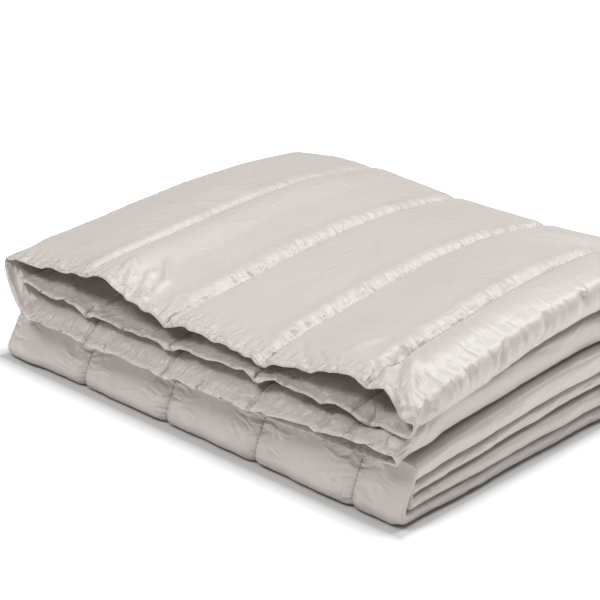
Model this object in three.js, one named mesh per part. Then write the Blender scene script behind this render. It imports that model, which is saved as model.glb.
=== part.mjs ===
// Folded throw: a light channel-quilted blanket, folded in quarters across its width and then in thirds.
// Millimetres, +Z up, origin under the middle of the stack on the surface it lies on.
// +X runs along the front, +Y runs back along the channels.
import * as THREE from 'three';

// Cloth laid flat
const clothWidth = 2000; // across the channels
const channelCount = 18;
const channelWidth = clothWidth / channelCount;
const loft = 10; // thickness in the middle of a loose channel
const seamThickness = 2.6;
const hemThickness = 2.4;
const hemWidth = 7; // flat turned edge
const hemTaper = 46; // the fill thins out over this distance from an edge
const puffPower = 0.6; // below 1 a channel is fuller and its seams are steeper

// Folded stack
const foldedDepth = 411;
const layerFill = 0.42; // share of the way to the next layer that half a thickness may take
const foldFill = 0.8; // share of a side fold's half height that half a thickness may take
const floorSeamLift = 2.4; // seams under the stack stand clear of the floor
const floorSeamShare = 0.14; // share of a channel over which the underside curves up to its seam

// The four layers in the order of the cloth, from one side hem to the other.
// startsAt is where the run begins on the cloth, and up is where its outer face looks in the top panel.
const runs = [
  { layer: 'B', startsAt: 0, endsAt: 495, up: -1, towards: 1 },
  { layer: 'A', startsAt: 521, endsAt: 1002, up: 1, towards: -1 },
  { layer: 'C', startsAt: 1024, endsAt: 1487, up: -1, towards: 1 },
  { layer: 'D', startsAt: 1513, endsAt: 2000, up: 1, towards: -1 },
];

// Folds between those runs: side is the end of the stack, reach the bulge past the layers' ends.
// outward tells whether the outer face lies on the outside of the bend; a square below 1 flattens the fold.
const sideFolds = [
  { upper: 'A', lower: 'B', side: 1, reach: 12, from: -90, to: 90, outward: 1, square: 0.45, steps: 6 },
  { upper: 'A', lower: 'C', side: -1, reach: 9, from: 90, to: -90, outward: 1, square: 1, steps: 7 },
  { upper: 'C', lower: 'D', side: 1, reach: 10, from: 90, to: -90, outward: -1, square: 0.35, steps: 5 },
];

// Where each layer's straight run ends, in X, in the three panels from the top down
const ends = {
  A: { left: [-242, -240, -241], right: [234, 231, 232] },
  B: { left: [-226, -228, -230], right: [234, 231, 232] },
  C: { left: [-236, -238, -239], right: [232, 235, 233] },
  D: { left: [-240, -242, -244], right: [232, 235, 233] },
};
const frontTuck = { A: 6, B: 2, C: -30, D: -16 }; // how far the left ends lean out at the front hem
const frontTuckDepth = 150;

// Heights across the width: hem edges of the four layers at the front, the top layer over the middle
// and where it turns down at the rear, and the top of the two lower panels
const stations = [
  { x: -250, hemA: 94, hemB: 83, hemC: 58, hemD: 51, crown: 116, rear: 110, base: 69 },
  { x: -172, hemA: 100, hemB: 77, hemC: 55, hemD: 50, crown: 127, rear: 117, base: 71 },
  { x: -110, hemA: 111, hemB: 74, hemC: 55, hemD: 50, crown: 130, rear: 118, base: 72 },
  { x: -76, hemA: 98, hemB: 73, hemC: 55, hemD: 50, crown: 124, rear: 115, base: 72 },
  { x: 0, hemA: 92, hemB: 76, hemC: 55, hemD: 50, crown: 121, rear: 111, base: 72 },
  { x: 90, hemA: 92, hemB: 81, hemC: 58, hemD: 51, crown: 123, rear: 110, base: 73 },
  { x: 180, hemA: 107, hemB: 82, hemC: 66, hemD: 53, crown: 135, rear: 111, base: 75 },
  { x: 218, hemA: 108, hemB: 79, hemC: 69, hemD: 55, crown: 136, rear: 110, base: 76 },
  { x: 250, hemA: 84, hemB: 79, hemC: 67, hemD: 57, crown: 132, rear: 107, base: 77 },
];

// How the layers climb from the front to the middle, as a share of the way
const climb = [
  { back: 0, loose: 0, draped: 0 },
  { back: 24, loose: 0.13, draped: 0.3 },
  { back: 55, loose: 0.3, draped: 0.46 },
  { back: 120, loose: 0.6, draped: 0.66 },
  { back: 180, loose: 0.85, draped: 0.85 },
  { back: 240, loose: 1, draped: 1 },
  { back: 411, loose: 1, draped: 1 },
];
const rearSlopeStart = 280; // behind this the top slopes down to its rear height

// Middle and bottom panels: layer heights beside the front fold and over the middle
const pressed = {
  A: { middleFront: 24.5, middleBack: 37, bottomFront: 19, bottomBack: 28 },
  B: { middleFront: 30, middleBack: 44, bottomFront: 14.5, bottomBack: 19 },
  C: { middleFront: 37, middleBack: 53, bottomFront: 9.5, bottomBack: 11.5 },
  D: { middleFront: 44, middleBack: 65, bottomFront: 4.5, bottomBack: 5 },
};
const pressedBase = 73; // the base height that those heights were read at

const order = { A: 3, B: 2, C: 1, D: 0 };
const baseGap = 6; // from the lower panels up to the middle of layer D

// Turns at the back and at the front: depth of a turn as a share of its half height
const backTurn = 0.72;
const frontTurn = 0.52;
const frontSag = 2; // above 1 the front turn hangs towards the floor
const frontSquare = 0.35; // below 1 it stays full down to the floor
const leftTurn = 0.75; // the front turn is deeper at its left end
const leftTurnFrom = -215;
const leftTurnTo = -150;
const backTurnStart = 380;
const frontTurnStart = 23;
const hemSetback = { A: 15, B: 12, C: -1, D: 6 };
const lastHem = { A: 392, B: 396, C: 401, D: 404 }; // where the far hem ends in the bottom panel

// Mesh density
const fineShares = [0, 0.07, 0.25, 0.5, 0.75, 0.93];
const plainShares = [0, 0.14, 0.86];
const visibleLayers = 'AD';
const columnGap = 4; // least distance from a column to the end of its run
const topSteps = [0, 0.018, 0.055, 0.12, 0.21, 0.32, 0.45, 0.6, 0.78];
const backSteps = 6;
const middleSteps = 3;
const frontSteps = 7;
const bottomSteps = [0.25, 0.6, 0.94, 1];

function mix(a, b, share) {
  return a + (b - a) * share;
}

function smooth(from, to, value) {
  return THREE.MathUtils.smoothstep(value, from, to);
}

// Smooth reading of one column of a table, level at each local high and low
function read(table, key, column, value) {
  const last = table.length - 1;
  const at = THREE.MathUtils.clamp(value, table[0][key], table[last][key]);
  let row = 0;
  while (row < last - 1 && at > table[row + 1][key]) row += 1;
  const slope = (i) => (table[i + 1][column] - table[i][column]) / (table[i + 1][key] - table[i][key]);
  const tangent = (i) => {
    if (i === 0 || i === last) return 0;
    const product = slope(i - 1) * slope(i);
    return product <= 0 ? 0 : (2 * product) / (slope(i - 1) + slope(i));
  };
  const span = table[row + 1][key] - table[row][key];
  const t = (at - table[row][key]) / span;
  const rest = 1 - t;
  const startPart = rest * rest * (1 + 2 * t) * table[row][column];
  const endPart = t * t * (3 - 2 * t) * table[row + 1][column];
  return startPart + endPart + span * t * rest * (rest * tangent(row) - t * tangent(row + 1));
}

// Height of the middle of a layer in a panel (0 top, 1 middle, 2 bottom), back mm behind the front
function layerHeight(layer, panel, x, back) {
  const base = read(stations, 'x', 'base', x);
  if (panel === 0) {
    const hem = read(stations, 'x', `hem${layer}`, x);
    const low = base + baseGap;
    const rear = smooth(rearSlopeStart, foldedDepth, back);
    const top = mix(read(stations, 'x', 'crown', x), read(stations, 'x', 'rear', x), rear);
    const full = mix(low, top, order[layer] / order.A);
    return mix(hem, full, read(climb, 'back', order[layer] > 1 ? 'loose' : 'draped', back));
  }
  const name = panel === 1 ? 'middle' : 'bottom';
  const rows = pressed[layer];
  const share = read(climb, 'back', 'loose', back);
  return mix(rows[`${name}Front`], rows[`${name}Back`], share) * (base / pressedBase);
}

// Neighbours of a layer in the stack, so that no layer is thicker than the room it has
function roomAround(layer, panel, x, back) {
  const here = layerHeight(layer, panel, x, back);
  const names = 'DCBA';
  const spot = names.indexOf(layer);
  const heights = [];
  if (spot > 0) heights.push(layerHeight(names[spot - 1], panel, x, back));
  if (spot < 3) heights.push(layerHeight(names[spot + 1], panel, x, back));
  if (layer === 'D' && panel < 2) heights.push(layerHeight('D', 1 - panel, x, back));
  if (layer === 'A' && panel > 0) heights.push(layerHeight('A', 3 - panel, x, back));
  return Math.min(...heights.map((height) => Math.abs(height - here)));
}

function channelShare(cloth) {
  return cloth / channelWidth - Math.floor(cloth / channelWidth);
}

// Half the quilt's thickness at a place on the cloth, edge mm from the nearest end hem
function halfThickness(cloth, edge, room) {
  const puff = Math.pow(Math.sin(Math.PI * channelShare(cloth)), puffPower);
  const toHem = Math.min(edge, cloth, clothWidth - cloth);
  const filled = mix(seamThickness, loft, puff);
  return Math.min(mix(hemThickness, filled, smooth(hemWidth, hemTaper, toHem)) / 2, room);
}

function runEnd(layer, side, panel, back) {
  const end = ends[layer][side < 0 ? 'left' : 'right'][panel];
  const lean = side < 0 && panel === 0 ? 1 - smooth(0, frontTuckDepth, back) : 0;
  return end - lean * frontTuck[layer];
}

// A point of one face of one column of the cloth in a panel; face is 1 outside and -1 inside
function panelPoint(column, face, panel, back, edge) {
  const turned = panel === 1 ? -1 : 1;
  if (column.fold) {
    const { upper, lower, side, reach, outward, square } = column.fold;
    const sine = Math.sin(column.angle);
    const start = runEnd(lower, side, panel, back);
    const stop = runEnd(upper, side, panel, back);
    const axis = mix(start, stop, (1 + sine) / 2);
    const high = layerHeight(upper, panel, stop, back);
    const low = layerHeight(lower, panel, start, back);
    const spread = Math.abs(high - low) / 2;
    const lowRoom = layerFill * roomAround(lower, panel, start, back);
    const highRoom = layerFill * roomAround(upper, panel, stop, back);
    const room = Math.min(mix(lowRoom, highRoom, (1 + sine) / 2), foldFill * Math.min(spread, reach));
    const half = halfThickness(column.cloth, edge, room);
    const x = axis + side * Math.cos(column.angle) ** square * (reach + outward * face * half);
    const z = (high + low) / 2 + turned * sine * (spread + outward * face * half);
    return { x, z };
  }
  const { layer, up } = column.run;
  const x = mix(runEnd(layer, -1, panel, back), runEnd(layer, 1, panel, back), column.across);
  const half = halfThickness(column.cloth, edge, layerFill * roomAround(layer, panel, x, back));
  const z = layerHeight(layer, panel, x, back) + up * face * turned * half;
  return { x, z };
}

// The underside lies flat on the floor between seams
function settle(column, face, point) {
  if (!column.run || column.run.layer !== 'D' || face === 1) return point;
  const share = channelShare(column.cloth);
  const lift = 1 - smooth(0, floorSeamShare, Math.min(share, 1 - share));
  return { x: point.x, z: floorSeamLift * lift };
}

// A point of the half turn from one panel to the next; progress runs from 0 to 1
function turnPoint(first, second, back, progress) {
  const share = (1 + Math.cos(Math.PI * progress)) / 2;
  return new THREE.Vector3(mix(second.x, first.x, share), back, mix(second.z, first.z, share));
}

// How far the front turn has come forward at a share of its way down
function hangingReach(progress) {
  const turned = progress ** frontSag;
  return Math.max(Math.sin(Math.PI * turned), 0) ** (turned > 0.5 ? frontSquare : 1);
}

// One face of one column, from the front hem to the far hem
function facePath(column, face) {
  const layer = column.run ? column.run.layer : null;
  const fold = column.fold;
  const blend = fold ? (1 + Math.sin(column.angle)) / 2 : 1;
  const setting = (table) => (layer ? table[layer] : mix(table[fold.lower], table[fold.upper], blend));
  const hem = setting(hemSetback);
  const far = setting(lastHem);
  const at = (panel, back, edge) => panelPoint(column, face, panel, back, edge);
  const path = [];
  for (const step of topSteps) {
    const back = mix(hem, backTurnStart, step);
    const point = at(0, back, back - hem);
    path.push(new THREE.Vector3(point.x, back, point.z));
  }
  const topEnd = at(0, backTurnStart, hemTaper);
  const middleStart = at(1, backTurnStart, hemTaper);
  const backDepth = (backTurn * (topEnd.z - middleStart.z)) / 2;
  for (let i = 0; i <= backSteps; i += 1) {
    const turned = i / backSteps;
    const place = backTurnStart + backDepth * Math.sin(Math.PI * turned);
    path.push(turnPoint(topEnd, middleStart, place, turned));
  }
  for (let i = 1; i < middleSteps; i += 1) {
    const back = mix(backTurnStart, frontTurnStart, i / middleSteps);
    const point = at(1, back, hemTaper);
    path.push(new THREE.Vector3(point.x, back, point.z));
  }
  const middleEnd = at(1, frontTurnStart, hemTaper);
  const bottomStart = settle(column, face, at(2, frontTurnStart, hemTaper));
  const pastLeft = THREE.MathUtils.smoothstep(middleEnd.x, leftTurnFrom, leftTurnTo);
  const frontShare = mix(leftTurn, frontTurn, pastLeft);
  const frontDepth = (frontShare * (middleEnd.z - bottomStart.z)) / 2;
  for (let i = 0; i <= frontSteps; i += 1) {
    const turned = i / frontSteps;
    const place = frontTurnStart - frontDepth * hangingReach(turned);
    path.push(turnPoint(middleEnd, bottomStart, place, turned));
  }
  for (const step of bottomSteps) {
    const back = mix(frontTurnStart, far, step);
    const point = settle(column, face, at(2, back, far - back));
    path.push(new THREE.Vector3(point.x, back, point.z));
  }
  return path;
}

// Columns of the cloth from one side hem to the other: channel by channel on the runs, by angle in the folds
function clothColumns() {
  const columns = [];
  runs.forEach((run, index) => {
    const shares = visibleLayers.includes(run.layer) ? fineShares : plainShares;
    const places = [run.startsAt, run.endsAt];
    for (let channel = 0; channel < channelCount; channel += 1) {
      for (const share of shares) {
        const cloth = (channel + share) * channelWidth;
        if (cloth > run.startsAt + columnGap && cloth < run.endsAt - columnGap) places.push(cloth);
      }
    }
    places.sort((a, b) => a - b);
    for (const cloth of places) {
      const along = (cloth - run.startsAt) / (run.endsAt - run.startsAt);
      columns.push({ run, cloth, across: run.towards > 0 ? along : 1 - along });
    }
    const fold = sideFolds[index];
    if (!fold) return;
    for (let i = 1; i < fold.steps; i += 1) {
      const share = i / fold.steps;
      const angle = THREE.MathUtils.degToRad(mix(fold.from, fold.to, share));
      columns.push({ fold, angle, cloth: mix(run.endsAt, runs[index + 1].startsAt, share) });
    }
  });
  return columns;
}

// Both faces as grids, closed by a rim along the four hems
function quiltGeometry() {
  const columns = clothColumns();
  const positions = [];
  const index = [];
  const faces = [1, -1].map((face) =>
    columns.map((column) =>
      facePath(column, face).map((point) => {
        positions.push(point.x, point.y - foldedDepth / 2, point.z);
        return positions.length / 3 - 1;
      }),
    ),
  );
  const quad = (a, b, c, d) => index.push(a, b, c, a, c, d);
  const [outer, inner] = faces;
  const lastColumn = columns.length - 1;
  const lastRow = outer[0].length - 1;
  for (let c = 0; c < lastColumn; c += 1) {
    for (let r = 0; r < lastRow; r += 1) {
      quad(outer[c][r], outer[c][r + 1], outer[c + 1][r + 1], outer[c + 1][r]);
      quad(inner[c][r], inner[c + 1][r], inner[c + 1][r + 1], inner[c][r + 1]);
    }
    quad(outer[c][0], outer[c + 1][0], inner[c + 1][0], inner[c][0]);
    quad(outer[c + 1][lastRow], outer[c][lastRow], inner[c][lastRow], inner[c + 1][lastRow]);
  }
  for (let r = 0; r < lastRow; r += 1) {
    quad(outer[0][r + 1], outer[0][r], inner[0][r], inner[0][r + 1]);
    quad(outer[lastColumn][r], outer[lastColumn][r + 1], inner[lastColumn][r + 1], inner[lastColumn][r]);
  }
  const geometry = new THREE.BufferGeometry();
  geometry.setAttribute('position', new THREE.Float32BufferAttribute(positions, 3));
  geometry.setIndex(index);
  geometry.computeVertexNormals();
  return geometry;
}

const satinNylon = new THREE.MeshStandardMaterial({ color: 0xd6d0c9, roughness: 0.5, metalness: 0 });

const throwBlanket = new THREE.Group();
const quilt = new THREE.Mesh(quiltGeometry(), satinNylon);
quilt.name = 'quilted_throw';
throwBlanket.add(quilt);

export default throwBlanket;
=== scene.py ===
import math

import bpy
import numpy as np
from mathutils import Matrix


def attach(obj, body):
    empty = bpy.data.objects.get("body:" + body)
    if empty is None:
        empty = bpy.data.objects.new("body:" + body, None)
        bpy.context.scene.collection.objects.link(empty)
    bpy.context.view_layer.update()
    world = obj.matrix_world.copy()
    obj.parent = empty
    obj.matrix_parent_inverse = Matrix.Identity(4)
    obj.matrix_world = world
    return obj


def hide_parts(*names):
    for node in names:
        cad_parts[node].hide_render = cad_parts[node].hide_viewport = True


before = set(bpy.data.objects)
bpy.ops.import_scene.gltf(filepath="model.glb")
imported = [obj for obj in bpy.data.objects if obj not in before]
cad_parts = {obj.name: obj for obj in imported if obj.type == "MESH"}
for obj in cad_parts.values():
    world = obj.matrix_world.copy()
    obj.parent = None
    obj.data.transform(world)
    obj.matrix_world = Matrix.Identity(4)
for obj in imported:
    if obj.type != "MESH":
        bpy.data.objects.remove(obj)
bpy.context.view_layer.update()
mm = 0.001  # the cloth is worked out in millimetres and placed in metres
print("frame loaded:", list(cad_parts))


# Small helpers

noiseCells = 64
tiny = 1e-9  # keeps lengths away from zero
tinyArea = 1e-12
samePlace = 1e-6


def mix(a, b, share):
    return a + (b - a) * share


def smooth(start, stop, value):
    share = np.clip((value - start) / (stop - start), 0.0, 1.0)
    return share * share * (3.0 - 2.0 * share)


# Smooth reading of every column of a table, level at each local high and low
def readTable(table, key, value):
    places = np.array(table[key], float)
    return {name: readColumn(places, np.array(table[name], float), value) for name in table if name != key}


def readColumn(places, levels, value):
    spans = np.diff(places)
    slopes = np.diff(levels) / spans
    tangents = np.zeros(len(places))
    product = slopes[:-1] * slopes[1:]
    total = np.where(product > 0, slopes[:-1] + slopes[1:], 1.0)
    tangents[1:-1] = np.where(product > 0, 2.0 * product / total, 0.0)
    at = np.clip(value, places[0], places[-1])
    row = np.clip(np.searchsorted(places, at, side="right") - 1, 0, len(spans) - 1)
    t = (at - places[row]) / spans[row]
    rest = 1.0 - t
    start = rest * rest * (1.0 + 2.0 * t) * levels[row]
    end = t * t * (3.0 - 2.0 * t) * levels[row + 1]
    bend = spans[row] * t * rest * (rest * tangents[row] - t * tangents[row + 1])
    return start + end + bend


# Seeded smooth noise in the plane of the cloth, from -1 to 1
def clothNoise(x, y, seed):
    grid = np.random.default_rng(seed).uniform(-1.0, 1.0, (noiseCells, noiseCells))
    cellX = np.floor(x).astype(int)
    cellY = np.floor(y).astype(int)
    left, right = cellX % noiseCells, (cellX + 1) % noiseCells
    low, high = cellY % noiseCells, (cellY + 1) % noiseCells
    shareX = smooth(0.0, 1.0, x - cellX)
    near = mix(grid[left, low], grid[right, low], shareX)
    far = mix(grid[left, high], grid[right, high], shareX)
    return mix(near, far, smooth(0.0, 1.0, y - cellY))


def lineNoise(x, seed):
    return clothNoise(x, 0.0 * x, seed)


# Distance from each place in the plane to a line of points, and how far along the line that is
def distanceTo(path, x, y):
    best = np.full(np.broadcast(x, y).shape, math.inf)
    progress = np.zeros(best.shape)
    for part, ((startX, startY), (stopX, stopY)) in enumerate(zip(path[:-1], path[1:])):
        spanX, spanY = stopX - startX, stopY - startY
        share = ((x - startX) * spanX + (y - startY) * spanY) / (spanX ** 2 + spanY ** 2)
        share = np.clip(share, 0.0, 1.0)
        away = np.hypot(x - startX - share * spanX, y - startY - share * spanY)
        progress = np.where(away < best, (part + share) / (len(path) - 1), progress)
        best = np.minimum(best, away)
    return best, progress


# The quilt laid flat

quilt = dict(
    width=2000.0,  # across the channels
    length=1300.0,  # along them
    channels=18,
    loft=10.0,  # thickness in the middle of a loose channel
    seamThickness=1.8,
    hemThickness=1.8,
    hemPinch=1.1,  # at the very edge and at the hem's own line of stitches
    hemDroop=0.7,
    hemWidth=7.0,
    hemTaper=46.0,  # the fill thins out over this distance from an edge
    hemEase=0.7,
    puffPower=0.38,
)
channelWidth = quilt["width"] / quilt["channels"]

# How it is folded: the same stack as the solid, front edge at 0 and depth counted back from it
folded = dict(
    depth=411.0,
    layerFill=0.42,  # share of the room to the next layer that half a layer may take
    foldFill=0.75,
    floorSeamLift=1.0,  # the seams of the lowest face keep off the floor
    floorSeamShare=0.07,
    baseGap=3.0,
    pressedBase=73.0,
    rearSlopeStart=280.0,
    foldShrink=5.0,  # how far the fold under the top one draws in behind the front
    foldShrinkDepth=(15.0, 70.0),
    tipShrink=6.0,  # how much flatter the left fold is at the front
    tipShrinkDepth=130.0,
    hollowEnd=(200.0, 230.0),  # up to here the second layer stays low under the top one
    looseThird=(100.0, 170.0),  # right of here the third layer hangs loose
    rearSeamStart=190.0,
    rearSeamLift=2.4,  # the seams of the top lie shallower where it is drawn over the rear
    rearSeamWidth=16.0,
    wrinkleGap=6.0,  # loose wrinkles fade this close to a seam
    frontTuckDepth=150.0,
    backTurn=0.72,
    frontTurn=0.54,
    frontSag=2.0,  # above 1 the front turn hangs towards the floor
    frontSquare=0.45,  # below 1 it stays full down to the floor
    leftTurn=0.72,  # the front turn is deeper at its left end
    leftTurnEnd=(-215.0, -150.0),
    backTurnStart=380.0,
    frontTurnStart=23.0,
)
layerOrder = dict(top=3, second=2, third=1, fourth=0)
hemSetback = dict(top=15.0, second=12.0, third=-1.0, fourth=6.0)
lastHem = dict(top=392.0, second=396.0, third=401.0, fourth=404.0)
frontTuck = dict(top=6.0, second=2.0, third=-30.0, fourth=-16.0)
# Left and right end of each layer in the upper, middle and lower panel
runEnds = dict(
    top=dict(left=(-242, -240, -241), right=(234, 231, 232)),
    second=dict(left=(-226, -228, -230), right=(234, 231, 232)),
    third=dict(left=(-236, -238, -239), right=(232, 235, 233)),
    fourth=dict(left=(-240, -241, -248), right=(232, 235, 233)),
)
# Heights along x: front hems of the four layers, crown and rear of the top, top of the pressed panels
stations = dict(
    x=(-250, -172, -110, -76, 0, 90, 180, 218, 250),
    top=(94, 100, 111, 98, 92, 92, 107, 108, 84),
    second=(83, 77, 74, 73, 76, 81, 82, 79, 79),
    third=(58, 55, 55, 55, 55, 58, 66, 69, 67),
    fourth=(51, 50, 50, 50, 50, 51, 53, 55, 57),
    crown=(116, 127, 130, 124, 121, 123, 135, 136, 132),
    rear=(110, 117, 118, 115, 111, 110, 111, 110, 107),
    base=(69, 71, 72, 72, 72, 73, 75, 76, 77),
)
# How far a layer has climbed from its front hem to its full height, by depth
climb = dict(
    back=(0, 24, 55, 120, 180, 240, 411),
    loose=(0.0, 0.13, 0.3, 0.6, 0.85, 1.0, 1.0),
    draped=(0.0, 0.3, 0.46, 0.66, 0.85, 1.0, 1.0),
    hollow=(0.0, 0.02, 0.16, 0.54, 0.84, 1.0, 1.0),
)
# Heights of the pressed layers, front and back, in the middle and the lower panel
pressed = dict(
    top=((24.5, 37), (19, 28)),
    second=((30, 44), (14.5, 19)),
    third=((37, 53), (9.5, 11.5)),
    fourth=((44, 65), (4.5, 5)),
)
layers = list(layerOrder)
stackDown = [(0, n) for n in layers] + [(1, n) for n in layers[::-1]] + [(2, n) for n in layers]

# Runs and side folds in the order of the cloth, from one side hem to the other
strips = [
    dict(name="second", start=0, stop=495, up=-1, towards=1),
    dict(
        name="upperFold", upper="top", lower="second", start=495, stop=521,
        side=1, reach=12, turn=(-90, 90), outward=1, square=0.35, seed=107,
    ),
    dict(name="top", start=521, stop=1002, up=1, towards=-1),
    dict(
        name="leftFold", upper="top", lower="third", start=1002, stop=1024,
        side=-1, reach=9, turn=(90, -90), outward=1, square=1.0, seed=108,
    ),
    dict(name="third", start=1024, stop=1487, up=-1, towards=1),
    dict(
        name="lowerFold", upper="third", lower="fourth", start=1487, stop=1513,
        side=1, reach=10, turn=(90, -90), outward=-1, square=0.28, seed=109,
    ),
    dict(name="fourth", start=1513, stop=2000, up=1, towards=-1),
]

# Lengths along the cloth where each panel or turn begins
alongTop, alongBack, alongMiddle = 0.0, 375.0, 485.0
alongFront, alongBottom, alongEnd = 838.0, 898.0, 1280.0


def stackHeights(x, back):
    at = readTable(stations, "x", x)
    climbed = readTable(climb, "back", back)
    loose, draped = climbed["loose"], climbed["draped"]
    crown = mix(at["crown"], at["rear"], smooth(folded["rearSlopeStart"], folded["depth"], back))
    inside = 1.0 - smooth(*folded["hollowEnd"], x)
    lifts = dict(top=loose, second=mix(loose, climbed["hollow"], inside), fourth=draped)
    lifts["third"] = mix(draped, loose, smooth(*folded["looseThird"], x) * inside)
    scale = at["base"] / folded["pressedBase"]
    heights = {}
    for name, place in layerOrder.items():
        full = mix(at["base"] + folded["baseGap"], crown, place / layerOrder["top"])
        heights[0, name] = mix(at[name], full, lifts[name])
        for panel, ends in enumerate(pressed[name], 1):
            heights[panel, name] = mix(*ends, loose) * scale
    return heights


# Room that half a layer may take between its neighbours
def roomAround(heights, panel, name):
    spot = stackDown.index((panel, name))
    near = [stackDown[i] for i in (spot - 1, spot + 1) if 0 <= i < len(stackDown)]
    gaps = [np.abs(heights[place] - heights[panel, name]) for place in near]
    return folded["layerFill"] * np.minimum.reduce(gaps)


def channelShare(across):
    share = across / channelWidth
    return share - np.floor(share)


def seamShare(across):
    share = channelShare(across)
    return np.minimum(share, 1.0 - share)


def seamDistance(across):
    return seamShare(across) * channelWidth


def halfThickness(across, edge, room):
    puff = np.sin(np.pi * channelShare(across)) ** quilt["puffPower"]
    toHem = np.minimum(edge, np.minimum(across, quilt["width"] - across))
    filled = mix(quilt["seamThickness"], quilt["loft"], puff)
    eased = smooth(quilt["hemWidth"], quilt["hemTaper"], toHem) ** quilt["hemEase"]
    band = np.sin(np.pi * np.clip(toHem / quilt["hemWidth"], 0.0, 1.0))
    hem = mix(quilt["hemPinch"], quilt["hemThickness"], band)
    return np.minimum(mix(hem, filled, eased) / 2.0, room)


def runEnd(name, side, panel, back):
    end = runEnds[name]["left" if side < 0 else "right"][panel]
    if side > 0 or panel > 0:
        return end + 0.0 * back
    return end - frontTuck[name] * (1.0 - smooth(0.0, folded["frontTuckDepth"], back))


# Ripples of the four front hems: fine ones along the edge, broad ones further in
hemRipples = dict(top=(1.1, 1.2), second=(1.2, 2.2), third=(1.0, 1.0), fourth=(0.4, 0.3))
hemFullness = dict(top=1.0, second=2.1, third=2.1, fourth=1.0)  # how soon the fill begins
rippleWaves = [(3.6, 14.0, 10.0, 21), (17.0, 22.0, 34.0, 22)]  # span across and along, reach and seed


def rippleHeight(
    shares, across, edge, middle=0.75, uneven=0.55, unevenSpan=24.0, droopReach=3.5, seed=23,
):
    fine, broad = [
        clothNoise(across / spanAcross, edge / spanAlong, waveSeed) * np.exp(-edge / reach)
        for spanAcross, spanAlong, reach, waveSeed in rippleWaves
    ]
    fine = fine * (middle + uneven * lineNoise(across / unevenSpan, seed))
    return shares[0] * fine + shares[1] * broad - quilt["hemDroop"] * np.exp(-edge / droopReach)


# Adds creases, each with a height, a width and a path that it swells along
def addCreases(total, creases, x, y, swell=np.ones_like):
    for height, width, path in creases:
        away, progress = distanceTo(path, x, y)
        total = total + height * swell(progress) * np.exp(-(away / width) ** 2)
    return total


# Creases in the side of the upper fold: height, width and places up the side and back from the front
sideHeight = 45.0
sideCreases = [
    (-3.2, 2.6, [(45, 138), (38, 132), (30, 121), (16, 118)]),
    (1.6, 3.0, [(44, 124), (34, 114)]),
    (-2.4, 2.2, [(45, 176), (36, 181), (24, 178), (12, 164)]),
    (1.5, 2.6, [(43, 170), (34, 172)]),
    (-3.4, 2.4, [(45, 229), (37, 227), (30, 229)]),
    (-3.0, 2.4, [(45, 243), (36, 238), (28, 231)]),
    (1.8, 2.2, [(44, 235), (36, 232)]),
    (-2.0, 2.4, [(45, 300), (34, 305), (20, 296)]),
    (-2.0, 2.4, [(45, 343), (30, 336)]),
    (-1.8, 2.6, [(40, 62), (26, 52), (10, 50)]),
    (-1.6, 2.2, [(42, 88), (30, 80)]),
    (-1.6, 2.0, [(45, 36), (30, 30), (12, 34)]),
    (1.2, 2.0, [(44, 46), (30, 42)]),
    (-1.4, 1.8, [(45, 74), (34, 66), (20, 66)]),
    (-1.2, 1.6, [(45, 101), (36, 98)]),
    (-1.5, 2.0, [(45, 152), (36, 148), (28, 150)]),
    (-1.5, 2.0, [(45, 203), (34, 207)]),
    (-1.6, 2.2, [(45, 268), (34, 262), (22, 266)]),
]


# The side folds are not quite straight, and have small kinks
def foldWander(
    strip, panel, share, back, broad=1.4, broadSpan=36.0, kink=1.3, kinkSpan=15.0, kinkLean=1.6,
    kinkTurns=2.2, kinkPower=4, crumple=0.35, topCrumple=0.7, crumpleSpan=7.0, crumpleTurns=4.0,
):
    seed = strip["seed"] + 4 * panel
    besideTop = strip["name"] == "upperFold" and panel == 0
    kinked = clothNoise(back / kinkSpan + kinkLean * share, kinkTurns * share, seed + 200)
    kinks = 1.0 - 2.0 * np.abs(kinked)
    wander = broad * lineNoise(back / broadSpan, seed) - kink * np.maximum(kinks, 0.0) ** kinkPower
    crumpled = clothNoise(back / crumpleSpan, crumpleTurns * share, seed + 300)
    wander = wander + (topCrumple if besideTop else crumple) * crumpled
    return addCreases(wander, sideCreases, share * sideHeight, back) if besideTop else wander


# Creases of the top layer: height, width and the (x, depth) places that each grows along
topFolds = [
    (3.6, 2.6, [(-99, 24), (-104, 38), (-107, 50), (-99, 43), (-93, 31), (-87, 22)]),
    (4.0, 2.7, [(-84, 58), (-84, 46), (-76, 31), (-67, 24)]),
    (3.4, 3.0, [(-93, 77), (-78, 62), (-67, 50), (-67, 38)]),
    (2.2, 2.5, [(-36, 53), (-44, 41), (-33, 19)]),
    (1.9, 2.2, [(4, 37), (3, 24)]),
    (1.8, 2.2, [(-7, 31), (-10, 19)]),
    (1.8, 2.2, [(13, 35), (18, 21)]),
    (-1.8, 1.6, [(102, 50), (116, 36), (136, 19)]),
    (-1.9, 1.6, [(125, 43), (142, 31), (159, 19)]),
    (2.4, 3.4, [(175, 72), (163, 51), (160, 46)]),
    (-3.2, 3.0, [(185, 41), (199, 29), (202, 17)]),
    (1.9, 2.5, [(195, 44), (209, 28)]),
    (-6.2, 4.2, [(197, 74), (205, 48), (217, 29), (229, 22), (239, 15)]),
    (4.1, 3.1, [(207, 69), (219, 47), (228, 36), (238, 25)]),
    (1.6, 2.5, [(-133, 118), (-160, 102)]),
    (1.6, 2.5, [(-133, 190), (-163, 176)]),
    (1.4, 2.5, [(-133, 226), (-158, 214)]),
]
topFoldStart = 0.25  # share of its path over which a crease comes up


def topFoldHeight(x, back):
    flat = 0.0 * (x + back)
    return addCreases(flat, topFolds, x, back, lambda progress: smooth(0.0, topFoldStart, progress))


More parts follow.
